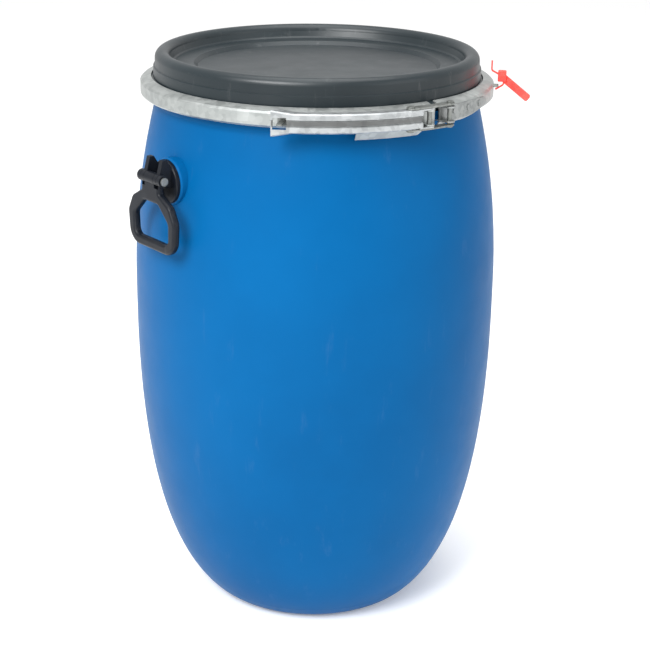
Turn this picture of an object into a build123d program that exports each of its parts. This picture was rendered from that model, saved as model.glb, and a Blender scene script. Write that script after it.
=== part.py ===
"""Open head plastic drum of about 120 litres, with a lever-locked clamp band and two swinging handles.

The origin is the middle of the base, on the floor. +Z runs up the drum's axis and the handles are on
+X and -X. The clasp of the clamp band is at the front, on -Y. Angles round the drum are in degrees,
counted from -Y towards +X. All sizes are in millimetres.
"""
import os
from math import asin, atan2, cos, degrees, radians, sin

from build123d import *

# Drum body
foot_radius = 138.0
foot_width = 12.0
base_dish = 6.0
side_start_radius = 170.0
side_start_height = 22.0
side_start_lean = 0.80
belly_radius = 250.4
belly_height = 460.0
shoulder_lean = 0.25
neck_radius = 218.5
neck_height = 717.0
wall = 4.5
mouth_radius = 204.0
rim_height = 770.0
rim_wall = 5.0
bead_radius = 231.0
bead_bottom = 729.5
bead_depth = 10.2
bead_slope = 3.6

# Lid
lid_wall = 3.5
lid_stand = 15.0
collar_gap = 4.4
flange_edge = 5.6
flange_rise = 3.6
flange_gap = 1.6
ledge_height = 764.0
ledge_step = 2.8
collar_width = 20.0
collar_crown = 9.0
recess_depth = 18.0
panel_drop = 5.0
panel_radius = 160.0
plug_depth = 30.0
gasket_thickness = 7.0
gasket_gap = 0.6

# Clamp band
band_sheet = 1.5
band_gap = 0.45
band_lip_radius = 222.4
band_wall_play = 4.4
band_half_gap = 1.3

# Clasp
plate_sheet = 2.0
plate_skin = 0.25
pivot_stand = 8.25
pivot_angle = -5.2
hook_pin_angle = 2.5
crank = 27.0
pin_radius = 3.0
running_gap = 0.05
lever_height = 24.0
lever_depth = 13.5
lever_sheet = 1.6
lever_length_angle = 40.5
grip_angle = 5.6
grip_rise = 4.0
window_length = 16.5
side_play = 0.3
link_width = 12.0
rivet_radius = 2.6
rivet_head_radius = 4.2
rivet_head_height = 1.1
rivet_seat = 0.1
lever_bracket_reach = 22.0
lever_bracket_drop = 15.0
hook_bracket_reach = 24.0
head_height = 1.6
hook_lean = 46.0
staple_height = 7.0
staple_angle = -48.8

# Security seal
seal_angle = 43.0
seal_tail_length = 46.0
seal_tail_width = 10.0
seal_tail_fall = 38.0
seal_sheet = 2.0
seal_block = 11.0
seal_strap = 2.0
staple_wire = 1.3
staple_half_width = 5.8
staple_lift = 6.0

# Handles
handle_height = 640.0
pad_radius = 30.5
pad_stand = 9.5
disc_radius = 28.5
disc_thickness = 6.0
hinge_stand = 23.0
hinge_rise = 8.0
barrel_radius = 7.5
barrel_length = 50.0
ear_width = 7.0
ear_inner = 22.0
ear_gap = 0.5
ear_relief = 4.2
prong_height = 25.0
handle_pin_radius = 3.5
bail_width = 107.0
bail_drop = 94.0
bail_bar = 13.0
bail_thickness = 11.0
bail_neck = 39.0
screw_head_radius = 8.0
screw_length = 16.0

# Worked out from the sizes above
bead_top = bead_bottom + bead_depth
flange_bottom = bead_top + flange_gap
flange_top = flange_bottom + flange_edge
rim_outer = mouth_radius + rim_wall
collar_inside = rim_outer + collar_gap
collar_radius = collar_inside + lid_wall
skirt_radius = collar_radius + ledge_step
lid_top = rim_height + lid_stand
plug_outer = mouth_radius - collar_gap
recess_radius = plug_outer - lid_wall - 2.5
recess_floor = lid_top - recess_depth
panel_top = recess_floor - panel_drop
band_inside = bead_radius + band_wall_play
band_radius = band_inside + band_sheet
band_low = bead_bottom - band_gap
band_high = flange_top + band_gap
band_middle = (band_low + band_high) / 2
plate_inside = band_radius + plate_skin
plate_outside = plate_inside + plate_sheet
pivot_radius = plate_outside + pivot_stand
lever_inside = pivot_radius - lever_depth / 2
lever_outside = pivot_radius + lever_depth / 2
link_pin_angle = pivot_angle - 2 * degrees(asin(crank / (2 * pivot_radius)))
ear_level = lever_height / 2 - lever_sheet - side_play
link_level = lever_height / 2 + side_play
hub_radius = lever_depth / 2


def half_section(*points):
    """A flat half-section of a round part, from points of radius and height."""
    return Plane.XZ * make_face(Polyline(*points, close=True))


def around(angle):
    """The turn that takes a piece from the front of the drum to an angle round it."""
    return Rot(0, 0, angle)


def ring_of(section, start, end):
    """A section swept round the drum between two angles."""
    return around(start - 90) * revolve(section, Axis.Z, end - start)


def upright_pin(radius, low, high, angle, stand):
    """A vertical round pin at an angle and a radius."""
    body = Pos(0, -stand, (low + high) / 2) * Cylinder(radius, high - low)
    return around(angle) * body


def pin_hole(radius, angle):
    """The hole for a clasp pin, right through the lever's height."""
    return upright_pin(radius, band_middle - lever_height, band_middle + lever_height, angle, pivot_radius)


def side_curves(inset):
    """The swelling side of the drum, from the base corner to the neck, moved in by inset."""
    start = (side_start_radius - inset, side_start_height)
    belly = (belly_radius - inset, belly_height)
    neck = (neck_radius - inset, neck_height)
    lower_run = (belly_height - side_start_height) * 0.25
    upper_run = (neck_height - belly_height) * 0.36
    lower = Bezier(
        start,
        (start[0] + lower_run * side_start_lean, start[1] + lower_run),
        (belly[0], belly[1] - lower_run * 0.55),
        belly,
    )
    upper = Bezier(
        belly,
        (belly[0], belly[1] + upper_run * 0.97),
        (neck[0] + upper_run * shoulder_lean, neck[1] - upper_run),
        neck,
    )
    return lower, upper


def drum_outer():
    lower, upper = side_curves(0)
    corner_run = side_start_radius - side_start_height * side_start_lean
    neck_top = (neck_radius, bead_bottom - bead_slope)
    edges = [
        Line((0, base_dish), (foot_radius - 2 * foot_width, base_dish)),
        Line((foot_radius - 2 * foot_width, base_dish), (foot_radius - foot_width, 0)),
        Line((foot_radius - foot_width, 0), (foot_radius, 0)),
        Bezier((foot_radius, 0), (corner_run, 0), lower @ 0),
        lower,
        upper,
        Polyline(
            upper @ 1,
            neck_top,
            (bead_radius, bead_bottom),
            (bead_radius, bead_top),
            (rim_outer, bead_top),
            (rim_outer, rim_height),
            (0, rim_height),
            (0, base_dish),
        ),
    ]
    return revolve(Plane.XZ * make_face(edges), Axis.Z)


def drum_inner():
    lower, upper = side_curves(wall)
    floor_level = base_dish + wall
    edges = [
        Line((0, floor_level), (foot_radius - foot_width, floor_level)),
        Bezier(
            (foot_radius - foot_width, floor_level),
            (side_start_radius - side_start_height * side_start_lean, floor_level),
            lower @ 0,
        ),
        lower,
        upper,
        Polyline(
            upper @ 1,
            (neck_radius - wall, neck_height + 2),
            (mouth_radius, bead_bottom - bead_slope),
            (mouth_radius, rim_height + 1),
            (0, rim_height + 1),
            (0, floor_level),
        ),
    ]
    return revolve(Plane.XZ * make_face(edges), Axis.Z)


def pad_face():
    """How far the flat handle pads stand from the drum's axis."""
    share = (neck_height - handle_height) / (neck_height - belly_height)
    return neck_radius + (belly_radius - neck_radius) * share ** 0.62 + pad_stand


def make_drum_body():
    body = drum_outer()
    face = pad_face()
    for side in (1, -1):
        pad = Rot(0, 90, 0) * Cylinder(pad_radius, face)
        pad = fillet(pad.edges().group_by(Axis.X)[-1], 3)
        pad = Pos(face / 2, 0, handle_height) * pad
        body += Rot(0, 0, 0 if side > 0 else 180) * pad
    body -= drum_inner()
    for side in (1, -1):
        hole = Rot(0, 90, 0) * Cylinder(screw_hole_radius(), 2 * (screw_length - disc_thickness))
        body -= Pos(side * face, 0, handle_height) * hole
    return body


def screw_hole_radius():
    return 2.5


def make_lid():
    under_flange = collar_inside + ledge_step
    outline = make_face(
        [
            Polyline(
                (0, panel_top),
                (panel_radius, panel_top),
                (panel_radius + panel_drop, recess_floor),
                (recess_radius - 2, recess_floor),
                (recess_radius, recess_floor + 2),
                (collar_radius - collar_width, lid_top - collar_crown),
            ),
            ThreePointArc(
                (collar_radius - collar_width, lid_top - collar_crown),
                (collar_radius - collar_width / 2, lid_top),
                (collar_radius, lid_top - collar_crown),
            ),
            Polyline(
                (collar_radius, lid_top - collar_crown),
                (collar_radius + 0.5, ledge_height + 1),
                (skirt_radius - 0.4, ledge_height),
                (skirt_radius, flange_top + flange_rise),
                (bead_radius, flange_top),
                (bead_radius, flange_bottom),
                (under_flange, flange_bottom),
                (under_flange, ledge_height - 4),
                (collar_inside, ledge_height),
                (collar_inside, rim_height + gasket_thickness),
                (plug_outer, rim_height + gasket_thickness),
                (plug_outer, recess_floor - plug_depth),
                (plug_outer - lid_wall, recess_floor - plug_depth),
                (plug_outer - lid_wall, recess_floor - lid_wall),
                (panel_radius + panel_drop + 1, recess_floor - lid_wall),
                (panel_radius + 1, panel_top - lid_wall),
                (0, panel_top - lid_wall),
                (0, panel_top),
            ),
        ]
    )
    return revolve(Plane.XZ * outline, Axis.Z)


def make_lid_gasket():
    inner = plug_outer + gasket_gap
    outer = collar_inside - gasket_gap
    low = rim_height
    high = rim_height + gasket_thickness
    return revolve(half_section((inner, low), (outer, low), (outer, high), (inner, high)), Axis.Z)


def band_section():
    """The band is a shallow channel whose lips slope over the lid's flange and under the drum's bead."""
    top_fall = flange_rise / (bead_radius - skirt_radius)
    low_fall = bead_slope / (bead_radius - neck_radius)
    lip_run = band_inside - 1.5 - band_lip_radius
    high_tip = band_high + (bead_radius - band_lip_radius) * top_fall
    low_tip = band_low - (bead_radius - band_lip_radius) * low_fall
    high_in = high_tip - lip_run * top_fall
    low_in = low_tip + lip_run * low_fall
    return half_section(
        (band_lip_radius, high_tip),
        (band_lip_radius + lip_run, high_in),
        (band_inside, high_in - 1.5),
        (band_inside, low_in + 1.5),
        (band_lip_radius + lip_run, low_in),
        (band_lip_radius, low_tip),
        (band_lip_radius, low_tip - band_sheet),
        (band_lip_radius + lip_run + 0.4, low_in - band_sheet),
        (band_radius, low_in + 1.0),
        (band_radius, high_in - 1.0),
        (band_lip_radius + lip_run + 0.4, high_in + band_sheet),
        (band_lip_radius, high_tip + band_sheet),
    )


def rivet_angles():
    """Angles of the rivets in the lever bracket, then of those in the hook bracket."""
    lever_side = [pivot_angle - 4.6 - step for step in (0.0, 8.0, 16.0)]
    hook_side = [hook_pin_angle + 4.6 + step for step in (0.0, 7.0, 14.0)]
    return lever_side, hook_side


def rivet_shank(angle, radius):
    shank = Rot(90, 0, 0) * Cylinder(radius, plate_outside - band_inside)
    return around(angle) * Pos(0, -(plate_outside + band_inside) / 2, band_middle) * shank


def make_rivets(angles):
    """A row of flat rivets, with a head on the bracket and one inside the band."""
    row = []
    for angle in angles:
        rivet = rivet_shank(angle, rivet_radius)
        for face, way in ((plate_outside, 1), (band_inside, -1)):
            seat = rivet_seat if way < 0 else 0
            stand = face + way * (rivet_head_height / 2 + seat)
            head = Rot(90, 0, 0) * Cylinder(rivet_head_radius, rivet_head_height)
            if way < 0:
                neck = Rot(90, 0, 0) * Cylinder(rivet_radius, rivet_seat * 4)
                rivet += around(angle) * Pos(0, -band_inside, band_middle) * neck
            rivet += around(angle) * Pos(0, -stand, band_middle) * head
        row.append(rivet)
    return Compound(children=row)


def make_band_half(start, end, holes, seal_hole):
    half = ring_of(band_section(), start, end)
    for angle in holes:
        half -= rivet_shank(angle, rivet_radius)
    if seal_hole:
        for foot in staple_feet():
            half -= foot
    return half


def plate_section(drop):
    """The brackets' sheet follows the outside of the band, and may wrap under its lower lip."""
    low_edge = band_low - 1.5
    foot = plate_inside - drop * 0.75
    return half_section(
        (plate_inside, band_high - 1.0),
        (plate_outside, band_high - 1.0),
        (plate_outside, low_edge),
        (foot + plate_sheet, low_edge - drop),
        (foot, low_edge - drop),
        (plate_inside, low_edge - 0.8),
    )


def cut_to(outline, plate):
    """Trim a curved plate to an outline drawn on the front, in width and height."""
    block = extrude(Plane.XZ * make_face(Polyline(*outline, close=True)), 2 * belly_radius)
    return plate & block


def pivot_ears(angle, half_root):
    """Two flat ears, inside the lever's flanges, that carry an upright pin."""
    profile = Pos(0, -pivot_radius) * Circle(hub_radius)
    root = Polyline(
        (-half_root, -plate_inside - 0.6),
        (-hub_radius, -pivot_radius),
        (hub_radius, -pivot_radius),
        (half_root, -plate_inside - 0.6),
        close=True,
    )
    profile += make_face(root)
    ears = None
    for low in (ear_level - plate_sheet, -ear_level):
        ear = Pos(0, 0, band_middle + low) * extrude(profile, plate_sheet)
        ears = ear if ears is None else ears + ear
    return around(angle) * ears


def make_lever_bracket():
    start = pivot_angle - lever_bracket_reach
    end = pivot_angle + 3.6
    plate = ring_of(plate_section(lever_bracket_drop), start, end)
    left = plate_outside * sin(radians(start)) - 2
    right = plate_outside * sin(radians(end)) + 2
    low = band_low - lever_bracket_drop - 4
    high = band_high + 1
    outline = (
        (left, band_low - lever_bracket_drop - 4),
        (right - 20, low),
        (right - 10, band_low - 3),
        (right, band_low - 1),
        (right, high),
        (right - 34, high),
        (left + 16, band_middle + 3),
        (left, band_middle - 2),
    )
    bracket = cut_to(outline, plate) + pivot_ears(pivot_angle, 9.0)
    for angle in rivet_angles()[0]:
        bracket -= rivet_shank(angle, rivet_radius)
    return bracket - pin_hole(pin_radius, pivot_angle)


def make_hook_bracket():
    start = hook_pin_angle - 2.3
    end = hook_pin_angle + hook_bracket_reach
    plate = ring_of(plate_section(3.0), start, end)
    left = plate_outside * sin(radians(start)) - 2
    right = plate_outside * sin(radians(end)) + 2
    outline = (
        (left, band_low - 6),
        (left + 40, band_low - 6),
        (right - 6, band_middle - 5),
        (right, band_middle),
        (right - 6, band_middle + 5),
        (left + 44, band_high + 1),
        (left, band_high + 1),
    )
    bracket = cut_to(outline, plate) + pivot_ears(hook_pin_angle, 9.0)
    for angle in rivet_angles()[1]:
        bracket -= rivet_shank(angle, rivet_radius)
    return bracket - pin_hole(pin_radius, hook_pin_angle)


def make_flush_pin(angle, reach):
    """A plain pin with no heads, level with the lever's flanges so that the link passes over it."""
    return upright_pin(pin_radius, band_middle - reach, band_middle + reach, angle, pivot_radius)


def make_headed_pin(angle, reach):
    """A plain steel pin with a flat head at each end."""
    pin = upright_pin(pin_radius, band_middle - reach, band_middle + reach, angle, pivot_radius)
    for low in (reach, -reach - head_height):
        level = band_middle + low
        pin += upright_pin(pin_radius + 1.5, level, level + head_height, angle, pivot_radius)
    return pin


def lever_face(height, outward):
    """The lever's folded sheet: flanges towards the band, and a groove along its outer face."""
    half = height / 2
    inner = lever_inside
    outer = lever_outside + outward
    groove = 2.4
    sheet = lever_sheet
    return half_section(
        (inner, band_middle - half),
        (outer - 1.5, band_middle - half),
        (outer, band_middle - half + 1.5),
        (outer, band_middle - 4.6),
        (outer - groove, band_middle - 3.0),
        (outer - groove, band_middle + 3.0),
        (outer, band_middle + 4.6),
        (outer, band_middle + half - 1.5),
        (outer - 1.5, band_middle + half),
        (inner, band_middle + half),
        (inner, band_middle + half - sheet),
        (outer - 1.5 - sheet / 2, band_middle + half - sheet),
        (outer - sheet, band_middle + half - 1.5 - sheet / 2),
        (outer - sheet, band_middle + 5.2),
        (outer - groove - sheet, band_middle + 3.6),
        (outer - groove - sheet, band_middle - 3.6),
        (outer - sheet, band_middle - 5.2),
        (outer - sheet, band_middle - half + 1.5 + sheet / 2),
        (outer - 1.5 - sheet / 2, band_middle - half + sheet),
        (inner, band_middle - half + sheet),
    )


def make_closing_lever():
    web_start = pivot_angle - degrees(crank / pivot_radius) * 0.5
    grip_start = pivot_angle - lever_length_angle
    body = ring_of(lever_face(lever_height, 0), grip_start, web_start)
    for low in (lever_height / 2 - lever_sheet, -lever_height / 2):
        arm = hub_arm(web_start)
        body += Pos(0, 0, band_middle + low) * extrude(arm, lever_sheet)
    for angle in (pivot_angle, link_pin_angle):
        body -= pin_hole(pin_radius + running_gap, angle)
    near = around(grip_start - 90) * lever_face(lever_height, 0)
    far = around(grip_start - grip_angle - 90) * lever_face(lever_height + 2 * grip_rise, grip_rise)
    grip = loft([near, far], ruled=True)
    window = Box(window_length, 30, lever_height * 0.6)
    grip -= around(grip_start - grip_angle * 0.6) * Pos(0, -lever_outside - 5, band_middle) * window
    return body + grip


def hub_arm(web_start):
    """The flat of one flange from the channel's end to the rounded eye on the pivot pin."""
    span = pivot_angle - web_start
    arm = arc_strip(lever_inside, lever_outside, web_start - 1, span + 1)
    return arm + around(pivot_angle) * Pos(0, -pivot_radius) * Circle(hub_radius)


def arc_strip(inner, outer, start, span):
    """A flat strip that follows the drum, between two radii."""
    strip = Circle(outer) - Circle(inner)
    reach = 2 * outer
    first = (reach * sin(radians(start)), -reach * cos(radians(start)))
    last = (reach * sin(radians(start + span)), -reach * cos(radians(start + span)))
    return strip & make_face(Polyline((0, 0), first, last, close=True))


def make_toggle_link(way):
    """One flat side of the link: an eye on the lever and an open hook round the hook pin."""
    inner = pivot_radius - link_width / 2
    outer = pivot_radius + link_width / 2
    span = hook_pin_angle - link_pin_angle
    profile = arc_strip(inner, outer, link_pin_angle, span)
    for angle in (link_pin_angle, hook_pin_angle):
        profile += around(angle) * Pos(0, -pivot_radius) * Circle(link_width / 2)
    seat = pin_radius + running_gap
    profile -= around(link_pin_angle) * Pos(0, -pivot_radius) * Circle(pin_radius)
    profile -= around(hook_pin_angle) * Pos(0, -pivot_radius) * hook_mouth(seat)
    level = band_middle + (link_level if way > 0 else -link_level - plate_sheet)
    return Pos(0, 0, level) * extrude(profile, plate_sheet)


def hook_mouth(seat):
    """The hook's open mouth, leaning away from the lever so that it lifts off the pin."""
    lean = radians(hook_lean)
    deep = link_width
    mouth = Circle(seat)
    mouth += make_face(
        Polyline(
            (-seat, 0),
            (-seat, deep),
            (seat * cos(lean) + deep * 1.2 * sin(lean), deep),
            (seat * cos(lean), -seat * sin(lean)),
            close=True,
        )
    )
    return mouth


def make_lever_staple():
    """A riveted eye on the band that stands through the lever's window, for a padlock or seal."""
    reach = lever_outside - band_radius + staple_height
    plate = Box(7.0, reach, 2.0)
    plate = Pos(0, -band_radius - reach / 2, 0) * plate
    plate += Pos(0, -band_radius - reach, 0) * Cylinder(3.5, 2.0)
    plate -= Pos(0, -band_radius - reach, 0) * Cylinder(1.6, 4.0)
    foot = ring_of(
        half_section(
            (band_radius, band_middle - 5),
            (band_radius + 1.6, band_middle - 5),
            (band_radius + 1.6, band_middle + 5),
            (band_radius, band_middle + 5),
        ),
        staple_angle - 1.6,
        staple_angle + 1.6,
    )
    return around(staple_angle) * Pos(0, 0, band_middle) * plate + foot


def staple_feet():
    feet = []
    for across in (-staple_half_width, staple_half_width):
        foot = Rot(90, 0, 0) * Cylinder(staple_wire, 12)
        feet.append(around(seal_angle) * Pos(across, -band_radius, band_middle + staple_lift) * foot)
    return feet


def make_seal_staple():
    """A small wire loop in the band's wall, which the seal is threaded through."""
    half = staple_half_width
    depth = 5.0
    path = FilletPolyline(
        (-half, -band_inside, 0),
        (-half, -band_radius - depth, 0),
        (half, -band_radius - depth, 0),
        (half, -band_inside, 0),
        radius=1.6,
    )
    loop = sweep(Plane(path @ 0, z_dir=path % 0) * Circle(staple_wire), path)
    return around(seal_angle) * Pos(0, 0, band_middle + staple_lift) * loop


def make_security_seal():
    """A one-piece moulded seal: a locking block, a thin strap through the staple and a flat tail."""
    stand = band_radius + 2.4
    level = band_middle + staple_lift
    loop = FilletPolyline(
        (0, -stand, level - 5),
        (0, -stand - 11, level + 2),
        (0, -stand - 8, level + 13),
        (0, -stand + 6, level + 20),
        (0, -stand + 6, level + 33),
        radius=4,
    )
    strap = sweep(Plane(loop @ 0, z_dir=loop % 0) * Rectangle(seal_strap, seal_strap), loop)
    block = Box(seal_block, seal_block, 1.3 * seal_block)
    block = Pos(0, -stand - 8, level + 13) * fillet(block.edges(), 1.6)
    tail = Box(seal_sheet, seal_tail_length, seal_tail_width)
    tail = fillet(tail.edges().filter_by(Axis.X), 3)
    tail = Rot(seal_tail_fall, 0, 0) * Pos(0, -seal_tail_length / 2, 0) * tail
    tail = Pos(0, -stand - 8, level + 12) * tail
    return around(seal_angle) * (strap + block + tail)


def hinge_centre():
    return pad_face() + hinge_stand, handle_height + hinge_rise


def make_handle_bracket():
    face = pad_face()
    stand, level = hinge_centre()
    disc = Rot(0, 90, 0) * Cylinder(disc_radius, disc_thickness)
    disc = fillet(disc.edges().group_by(Axis.X)[-1], 2.5)
    bracket = Pos(face + disc_thickness / 2, 0, handle_height) * disc
    ear_outline = ear_profile(face, stand, level)
    for way in (1, -1):
        middle = way * (ear_inner / 2 + ear_width / 2)
        ear = extrude(Plane.XZ * ear_outline, ear_width / 2, both=True)
        bracket += Pos(0, middle, 0) * ear
    pin = Pos(stand, 0, level) * Rot(90, 0, 0) * Cylinder(handle_pin_radius, 2 * barrel_length)
    screw = Pos(face, 0, handle_height) * Rot(0, 90, 0) * Cylinder(screw_hole_radius(), 40)
    return bracket - pin - screw


def ear_profile(face, stand, level):
    """One ear seen from the side: an arm from the disc to the hinge, with a prong above it."""
    root = face + disc_thickness - 1
    eye = Pos(stand, level) * Circle(barrel_radius)
    arm = make_face(
        Polyline(
            (root, level - 12),
            (stand, level - barrel_radius),
            (stand + 3, level),
            (stand - 4, level + prong_height),
            (stand - 10, level + prong_height),
            (root, level + 12),
            close=True,
        )
    )
    return eye + arm


def make_handle_pin():
    stand, level = hinge_centre()
    pin = Rot(90, 0, 0) * Cylinder(handle_pin_radius, barrel_length + 3)
    for way in (1, -1):
        head = Rot(90, 0, 0) * Cylinder(handle_pin_radius + 1.8, 1.5)
        pin += Pos(0, way * (barrel_length / 2 + 1.5 + 0.4), 0) * head
    return Pos(stand, 0, level) * pin


def bail_outline():
    """The stirrup seen from the front, with y across and z below the hinge."""
    half = bail_width / 2
    neck = bail_neck / 2
    top = [(-neck, -4), (-neck, -17), (-half * 0.8, -30), (-half, -50)]
    low = [(-half * 0.94, -bail_drop)]
    left = top + low
    right = [(-y, z) for y, z in reversed(left)]
    outer = FilletPolyline(*left, *right, radius=[4, 12, 16, 22, 22, 16, 12, 4], close=False)
    return outer


def make_handle_bail():
    stand, level = hinge_centre()
    outer = bail_outline()
    closed = make_face([outer, Line(outer @ 1, outer @ 0)])
    half = bail_width / 2 - bail_bar
    window_low = -bail_drop + bail_bar
    window = FilletPolyline(
        (-bail_neck / 2 + 3, -31),
        (-half + 2, -52),
        (-half + 3, window_low),
        (half - 3, window_low),
        (half - 2, -52),
        (bail_neck / 2 - 3, -31),
        radius=9,
        close=True,
    )
    frame_face = closed - make_face(window)
    solid = extrude(Plane.YZ * frame_face, bail_thickness / 2, both=True)
    rounding = bail_thickness * 0.36
    long_edges = [e for e in solid.edges() if abs(e.center().X) > bail_thickness / 2 - 0.01]
    free_edges = [e for e in long_edges if e.center().Z < -6]
    solid = fillet(free_edges, rounding)
    solid += Rot(90, 0, 0) * Cylinder(barrel_radius, barrel_length)
    for way in (1, -1):
        slot = Rot(90, 0, 0) * Cylinder(barrel_radius + ear_relief, ear_width + 2 * ear_gap)
        solid -= Pos(0, way * (ear_inner / 2 + ear_width / 2), 0) * slot
    solid -= Rot(90, 0, 0) * Cylinder(handle_pin_radius + running_gap, 2 * barrel_length)
    return Pos(stand, 0, level) * solid


def make_handle_screw():
    face = pad_face()
    start = face + disc_thickness
    shank = Rot(0, 90, 0) * Cylinder(screw_hole_radius(), screw_length)
    screw = Pos(start - screw_length / 2, 0, 0) * shank
    head = Rot(0, 90, 0) * Cylinder(screw_head_radius, 3.4)
    head = fillet(head.edges().group_by(Axis.X)[-1], 1.4)
    screw += Pos(start + 1.7, 0, 0) * head
    for turn in (0, 90):
        slot = Rot(turn, 0, 0) * Box(4, 7, 1.4)
        screw -= Pos(start + 3.4, 0, 0) * slot
    return Pos(0, 0, handle_height) * screw


def build():
    parts = {}
    parts["drum_body"] = make_drum_body()
    parts["lid"] = make_lid()
    parts["lid_gasket"] = make_lid_gasket()
    lever_side, hook_side = rivet_angles()
    parts["clamp_band_left"] = make_band_half(-180, -band_half_gap, lever_side, False)
    parts["clamp_band_right"] = make_band_half(band_half_gap, 180, hook_side, True)
    parts["lever_bracket"] = make_lever_bracket()
    parts["lever_bracket_rivets"] = make_rivets(lever_side)
    parts["hook_bracket"] = make_hook_bracket()
    parts["hook_bracket_rivets"] = make_rivets(hook_side)
    parts["closing_lever"] = make_closing_lever()
    parts["lever_pivot_pin"] = make_flush_pin(pivot_angle, lever_height / 2)
    parts["toggle_link_upper"] = make_toggle_link(1)
    parts["toggle_link_lower"] = make_toggle_link(-1)
    parts["link_pin"] = make_headed_pin(link_pin_angle, link_level + plate_sheet)
    parts["hook_pin"] = make_headed_pin(hook_pin_angle, link_level + plate_sheet + side_play)
    parts["lever_staple"] = make_lever_staple()
    parts["seal_staple"] = make_seal_staple()
    parts["security_seal"] = make_security_seal()
    for name, turn in (("right", 0), ("left", 180)):
        place = Rot(0, 0, turn)
        parts["handle_bracket_" + name] = place * make_handle_bracket()
        parts["handle_screw_" + name] = place * make_handle_screw()
        parts["handle_pin_" + name] = place * make_handle_pin()
        parts["handle_bail_" + name] = place * make_handle_bail()
    return parts


os.makedirs("parts", exist_ok=True)
for node, shape in build().items():
    export_step(shape, "parts/" + node + ".step")
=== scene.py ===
import math

import bmesh
import bpy
from mathutils import Matrix, Vector


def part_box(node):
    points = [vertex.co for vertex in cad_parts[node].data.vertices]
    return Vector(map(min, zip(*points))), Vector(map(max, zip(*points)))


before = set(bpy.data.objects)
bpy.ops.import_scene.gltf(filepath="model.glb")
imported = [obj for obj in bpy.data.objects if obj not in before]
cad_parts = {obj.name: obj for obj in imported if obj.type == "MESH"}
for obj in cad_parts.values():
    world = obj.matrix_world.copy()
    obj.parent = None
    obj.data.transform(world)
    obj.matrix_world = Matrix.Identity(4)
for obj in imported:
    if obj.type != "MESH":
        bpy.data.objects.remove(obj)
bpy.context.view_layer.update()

# The drum body is one blow-moulded piece of blue high density polythene. Its skin is satin, slightly
# cloudy in colour, with a fine grain from the mould and a few faint upright scuffs.


def new_material(name):
    material = bpy.data.materials.new(name)
    material.use_nodes = True
    nodes = material.node_tree.nodes
    return material, nodes, material.node_tree.links, nodes["Principled BSDF"]


def metre_coordinates(nodes, links, stretch=(1, 1, 1)):
    place = nodes.new("ShaderNodeTexCoord")
    mapping = nodes.new("ShaderNodeMapping")
    mapping.inputs["Scale"].default_value = stretch
    links.new(place.outputs["Object"], mapping.inputs["Vector"])
    return mapping.outputs["Vector"]


def noise(nodes, links, vector, scale, detail=4.0, roughness=0.55):
    texture = nodes.new("ShaderNodeTexNoise")
    texture.inputs["Scale"].default_value = scale
    texture.inputs["Detail"].default_value = detail
    texture.inputs["Roughness"].default_value = roughness
    links.new(vector, texture.inputs["Vector"])
    return texture.outputs["Fac"]


def ramp(nodes, links, source, stops):
    node = nodes.new("ShaderNodeValToRGB")
    elements = node.color_ramp.elements
    while len(elements) < len(stops):
        elements.new(0.5)
    for element, (place, colour) in zip(elements, stops):
        element.position = place
        element.color = (*colour, 1)
    links.new(source, node.inputs["Fac"])
    return node.outputs["Color"]


def spread(nodes, links, source, low, high):
    node = nodes.new("ShaderNodeMapRange")
    node.inputs["To Min"].default_value = low
    node.inputs["To Max"].default_value = high
    links.new(source, node.inputs["Value"])
    return node.outputs["Result"]


def bump(nodes, links, shader, height, strength, distance, under=None):
    node = nodes.new("ShaderNodeBump")
    node.inputs["Strength"].default_value = strength
    node.inputs["Distance"].default_value = distance
    links.new(height, node.inputs["Height"])
    if under is not None:
        links.new(under, node.inputs["Normal"])
    links.new(node.outputs["Normal"], shader.inputs["Normal"])
    return node.outputs["Normal"]


def give(node_name, material):
    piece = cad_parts[node_name]
    piece.data.materials.clear()
    piece.data.materials.append(material)


SCUFF_STRETCH = (1, 1, 0.18)
SCUFF_SCALE = 55.0
SCUFF_SHARE = 0.35
PATCH_SCALE = 26.0
RIPPLE_SCALE = 14.0
RIPPLE_DEPTH = 0.0015
GRAIN_DEPTH = 0.00025
FAINT_GLOSS = 0.05


def moulded_plastic(name, dark, mid, light, rough, grain, cloud, scuff, gloss=FAINT_GLOSS):
    material, nodes, links, shader = new_material(name)
    vector = metre_coordinates(nodes, links)
    cloudy = noise(nodes, links, vector, cloud, 5.0)
    colour = ramp(nodes, links, cloudy, [(0.25, dark), (0.5, mid), (0.78, light)])
    upright = metre_coordinates(nodes, links, SCUFF_STRETCH)
    streak = noise(nodes, links, upright, SCUFF_SCALE, 6.0, 0.7)
    worn = ramp(nodes, links, streak, [(0.60, (0, 0, 0)), (0.74, (scuff, scuff, scuff))])
    mix = nodes.new("ShaderNodeMix")
    mix.data_type = "RGBA"
    mix.blend_type = "SCREEN"
    mix.inputs["Factor"].default_value = SCUFF_SHARE
    links.new(colour, mix.inputs["A"])
    links.new(worn, mix.inputs["B"])
    links.new(mix.outputs["Result"], shader.inputs["Base Color"])
    patches = noise(nodes, links, vector, PATCH_SCALE, 6.0)
    links.new(spread(nodes, links, patches, rough - 0.07, rough + 0.09), shader.inputs["Roughness"])
    soft = noise(nodes, links, vector, RIPPLE_SCALE, 2.0)
    first = bump(nodes, links, shader, soft, 0.12, RIPPLE_DEPTH)
    fine = noise(nodes, links, vector, grain, 3.0)
    bump(nodes, links, shader, fine, 0.16, GRAIN_DEPTH, first)
    shader.inputs["Specular IOR Level"].default_value = gloss
    return material


BLUE_DARK = (0.0003, 0.068, 0.203)
BLUE_MID = (0.0003, 0.081, 0.236)
BLUE_LIGHT = (0.0006, 0.094, 0.268)
blue = moulded_plastic("blue_polythene", BLUE_DARK, BLUE_MID, BLUE_LIGHT, 0.40, 900.0, 3.5, 0.03)
give("drum_body", blue)

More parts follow.
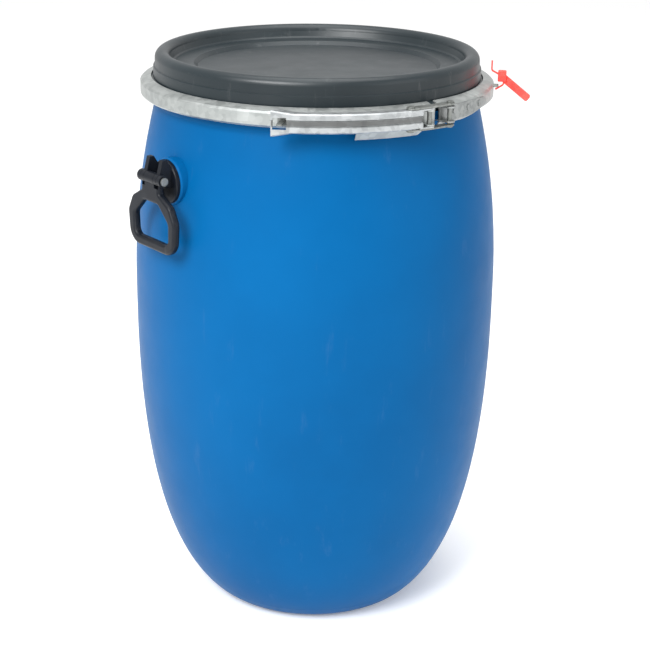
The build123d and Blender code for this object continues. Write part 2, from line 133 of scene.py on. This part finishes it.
# The lid is injection moulded in dark grey polythene, with a deep collar and a stepped panel. A rubber
# gasket sits in the top of its channel, out of sight when the lid is on.

LID_GLOSS = 0.42
lid_grey = moulded_plastic("dark_lid_plastic", (0.0050, 0.0100, 0.0130), (0.0075, 0.0140, 0.0175),
                           (0.012, 0.020, 0.024), 0.36, 1100.0, 6.0, 0.10, LID_GLOSS)
give("lid", lid_grey)
gasket_rubber = moulded_plastic("gasket_rubber", (0.010, 0.010, 0.011), (0.015, 0.015, 0.016),
                                (0.024, 0.024, 0.024), 0.72, 1500.0, 20.0, 0.03)
give("lid_gasket", gasket_rubber)

# The clamp band, its brackets, rivets, pins, link and lever are pressed from galvanised steel strip.
# The zinc shows a faint crystal pattern, dull patches and fine scratches along the strip.


STRIP_STRETCH = (0.25, 0.25, 6)
SCRATCH_SCALE = 240.0
SCRATCH_DEPTH = 0.0002
DULL_SCALE = 38.0
DULL_DEPTH = 0.0006
CRYSTAL_SHARE = 0.35
ZINC_METALLIC = 0.86


def zinc_steel(name, dark, light, rough, crystal):
    material, nodes, links, shader = new_material(name)
    vector = metre_coordinates(nodes, links)
    grains = nodes.new("ShaderNodeTexVoronoi")
    grains.inputs["Scale"].default_value = crystal
    links.new(vector, grains.inputs["Vector"])
    tint = nodes.new("ShaderNodeSeparateColor")
    links.new(grains.outputs["Color"], tint.inputs["Color"])
    dull = noise(nodes, links, vector, DULL_SCALE, 6.0, 0.6)
    blend = nodes.new("ShaderNodeMath")
    blend.operation = "MULTIPLY_ADD"
    blend.inputs[1].default_value = CRYSTAL_SHARE
    links.new(tint.outputs["Red"], blend.inputs[0])
    links.new(spread(nodes, links, dull, 0.05, 0.7), blend.inputs[2])
    colour = ramp(nodes, links, blend.outputs["Value"], [(0.15, dark), (0.85, light)])
    links.new(colour, shader.inputs["Base Color"])
    links.new(spread(nodes, links, blend.outputs["Value"], rough - 0.08, rough + 0.12),
              shader.inputs["Roughness"])
    along = metre_coordinates(nodes, links, STRIP_STRETCH)
    scratches = noise(nodes, links, along, SCRATCH_SCALE, 4.0, 0.7)
    first = bump(nodes, links, shader, scratches, 0.14, SCRATCH_DEPTH)
    bump(nodes, links, shader, dull, 0.10, DULL_DEPTH, first)
    shader.inputs["Metallic"].default_value = ZINC_METALLIC
    return material


band_zinc = zinc_steel("galvanised_strip", (0.26, 0.28, 0.275), (0.47, 0.49, 0.48), 0.38, 150.0)
latch_zinc = zinc_steel("latch_zinc", (0.19, 0.20, 0.20), (0.37, 0.385, 0.38), 0.38, 200.0)
pin_zinc = zinc_steel("pin_zinc", (0.12, 0.13, 0.12), (0.28, 0.29, 0.28), 0.42, 260.0)


# Half height, darkest share and colour of the painted shade laid along the lever's groove.
GROOVE_HALF_HEIGHT = 0.0036
GROOVE_SHADE_DARKEST = 0.72
GROOVE_SHADE_COLOUR = (0.045, 0.045, 0.042, 1)


def painted_groove_shade(material, level):
    """Painted shade that darkens the long groove pressed into the lever's face, standing in for the
    shadow inside the recess.
    """
    nodes, links = material.node_tree.nodes, material.node_tree.links
    shader = nodes["Principled BSDF"]
    place = nodes.new("ShaderNodeTexCoord")
    split = nodes.new("ShaderNodeSeparateXYZ")
    links.new(place.outputs["Object"], split.inputs["Vector"])
    gap = nodes.new("ShaderNodeMath")
    gap.operation = "SUBTRACT"
    gap.inputs[1].default_value = level
    links.new(split.outputs["Z"], gap.inputs[0])
    size = nodes.new("ShaderNodeMath")
    size.operation = "ABSOLUTE"
    links.new(gap.outputs["Value"], size.inputs[0])
    mask = nodes.new("ShaderNodeMapRange")
    mask.inputs["From Min"].default_value = GROOVE_HALF_HEIGHT * 0.6
    mask.inputs["From Max"].default_value = GROOVE_HALF_HEIGHT * 1.3
    mask.inputs["To Min"].default_value = GROOVE_SHADE_DARKEST
    mask.inputs["To Max"].default_value = 0.0
    links.new(size.outputs["Value"], mask.inputs["Value"])
    mix = nodes.new("ShaderNodeMix")
    mix.data_type = "RGBA"
    mix.inputs["B"].default_value = GROOVE_SHADE_COLOUR
    links.new(mask.outputs["Result"], mix.inputs["Factor"])
    links.new(shader.inputs["Base Color"].links[0].from_socket, mix.inputs["A"])
    links.new(mix.outputs["Result"], shader.inputs["Base Color"])


lever_low, lever_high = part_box("closing_lever")
lever_zinc = zinc_steel("lever_zinc", (0.26, 0.275, 0.28), (0.49, 0.51, 0.515), 0.38, 180.0)
# The lever's groove gets painted shade: a darker band mixed into its base colour.
painted_groove_shade(lever_zinc, (lever_low[2] + lever_high[2]) / 2)
give("closing_lever", lever_zinc)
for node_name in ("clamp_band_left", "clamp_band_right", "lever_bracket"):
    give(node_name, band_zinc)
for node_name in ("hook_bracket", "lever_bracket_rivets", "hook_bracket_rivets"):
    give(node_name, latch_zinc)
for node_name in ("lever_pivot_pin", "link_pin", "hook_pin", "toggle_link_upper",
                  "toggle_link_lower", "lever_staple", "seal_staple"):
    give(node_name, pin_zinc)

# The security seal is one moulding of bright red polypropylene, slightly translucent, looped through
# a wire staple in the band so that its flat tail hangs clear.

seal_red = moulded_plastic("seal_red_plastic", (0.78, 0.055, 0.050), (0.86, 0.085, 0.070),
                           (0.92, 0.14, 0.11), 0.36, 1400.0, 30.0, 0.06)
seal_shader = seal_red.node_tree.nodes["Principled BSDF"]
seal_shader.inputs["Subsurface Weight"].default_value = 0.25
seal_shader.inputs["Subsurface Scale"].default_value = 0.004
give("security_seal", seal_red)

# Each handle is a black moulded bail that swings on a steel pin between the ears of a black bracket,
# which is held to a flat pad on the drum by a large headed screw.

HANDLE_GLOSS = 0.20
handle_black = moulded_plastic("handle_black_plastic", (0.0025, 0.0035, 0.0060),
                               (0.0045, 0.0060, 0.0095), (0.011, 0.014, 0.019),
                               0.40, 1300.0, 18.0, 0.10, HANDLE_GLOSS)
for side in ("left", "right"):
    give("handle_bracket_" + side, handle_black)
    give("handle_bail_" + side, handle_black)
    give("handle_screw_" + side, handle_black)
    give("handle_pin_" + side, pin_zinc)

# The sharp edges of the pressed steel pieces, which are the band, lever, brackets and link plates, are
# slightly broken, as the press tools leave them.

EDGE_WIDTH = 0.0004
SHARP_ANGLE = math.radians(40)
for node_name in ("closing_lever", "lever_bracket", "hook_bracket", "toggle_link_upper",
                  "toggle_link_lower", "clamp_band_left", "clamp_band_right"):
    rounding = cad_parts[node_name].modifiers.new("broken_edges", "BEVEL")
    rounding.width = EDGE_WIDTH
    rounding.segments = 2
    rounding.limit_method = "ANGLE"
    rounding.angle_limit = SHARP_ANGLE

# The drum stands on a flat square of pale matt paper, under broad soft lights and a white surround.
# The paper glows a little, so that it stays white where the lights fall off.

floor_mesh = bpy.data.meshes.new("pale_floor")
builder = bmesh.new()
FLOOR_HALF = 6.0
corner_signs = ((-1, -1), (1, -1), (1, 1), (-1, 1))
builder.faces.new([builder.verts.new((x * FLOOR_HALF, y * FLOOR_HALF, 0)) for x, y in corner_signs])
builder.to_mesh(floor_mesh)
builder.free()
floor = bpy.data.objects.new("pale_floor", floor_mesh)
bpy.context.collection.objects.link(floor)
paper, _, _, paper_shader = new_material("pale_paper")
paper_shader.inputs["Base Color"].default_value = (0.93, 0.93, 0.93, 1)
paper_shader.inputs["Roughness"].default_value = 0.9
paper_shader.inputs["Emission Color"].default_value = (1, 1, 1, 1)
paper_shader.inputs["Emission Strength"].default_value = 0.16
floor_mesh.materials.append(paper)


def soft_light(name, place, aim, size, power):
    data = bpy.data.lights.new(name, "AREA")
    data.shape = "RECTANGLE"
    data.size = size[0]
    data.size_y = size[1]
    data.energy = power
    lamp = bpy.data.objects.new(name, data)
    bpy.context.collection.objects.link(lamp)
    lamp.location = place
    lamp.rotation_euler = (Vector(aim) - Vector(place)).to_track_quat("-Z", "Y").to_euler()


VIEW_ANGLE = math.radians(-39.0)


def seen_from_camera(across, towards, up):
    """A place given as metres to the right, towards the viewer and up, round the drum's axis."""
    x = across * math.cos(VIEW_ANGLE) + towards * math.sin(VIEW_ANGLE)
    y = across * math.sin(VIEW_ANGLE) - towards * math.cos(VIEW_ANGLE)
    return (x, y, up)


soft_light("key", seen_from_camera(-1.2, 2.0, 2.3), (0, 0, 0.5), (1.5, 1.2), 95)
soft_light("fill", seen_from_camera(2.2, 1.4, 1.4), (0, 0, 0.45), (2.0, 2.0), 16)
soft_light("top", (0, 0, 2.8), (0, 0, 0.7), (2.0, 2.0), 42)
world = bpy.data.worlds.new("studio")
bpy.context.scene.world = world
world.use_nodes = True
surround = world.node_tree.nodes["Background"]
surround.inputs["Color"].default_value = (1, 1, 1, 1)
surround.inputs["Strength"].default_value = 0.85
bpy.context.scene.view_settings.view_transform = "Standard"

# The camera looks down at the drum from above its rim, turned towards the left handle. Lengths are
# in metres, the lens and sensor in millimetres, and the shifts are shares of the sensor's width.

CAMERA_REACH = 2.0
CAMERA_HEIGHT = 1.131
CAMERA_PITCH = math.radians(21.0)
CAMERA_ROLL = math.radians(-0.65)
SENSOR_WIDTH = 36
LENS = 82.4
SHIFT_ACROSS = 0.0168
SHIFT_UP = 0.0266
camera_data = bpy.data.cameras.new("camera")
camera_data.sensor_width = SENSOR_WIDTH
camera_data.lens = LENS
camera_data.shift_x = SHIFT_ACROSS
camera_data.shift_y = SHIFT_UP
camera = bpy.data.objects.new("camera", camera_data)
bpy.context.collection.objects.link(camera)
camera.matrix_world = (
    Matrix.Translation(seen_from_camera(0, CAMERA_REACH, CAMERA_HEIGHT))
    @ Matrix.Rotation(VIEW_ANGLE, 4, "Z")
    @ Matrix.Rotation(math.pi / 2 - CAMERA_PITCH, 4, "X")
    @ Matrix.Rotation(-CAMERA_ROLL, 4, "Z")
)
bpy.context.scene.camera = camera
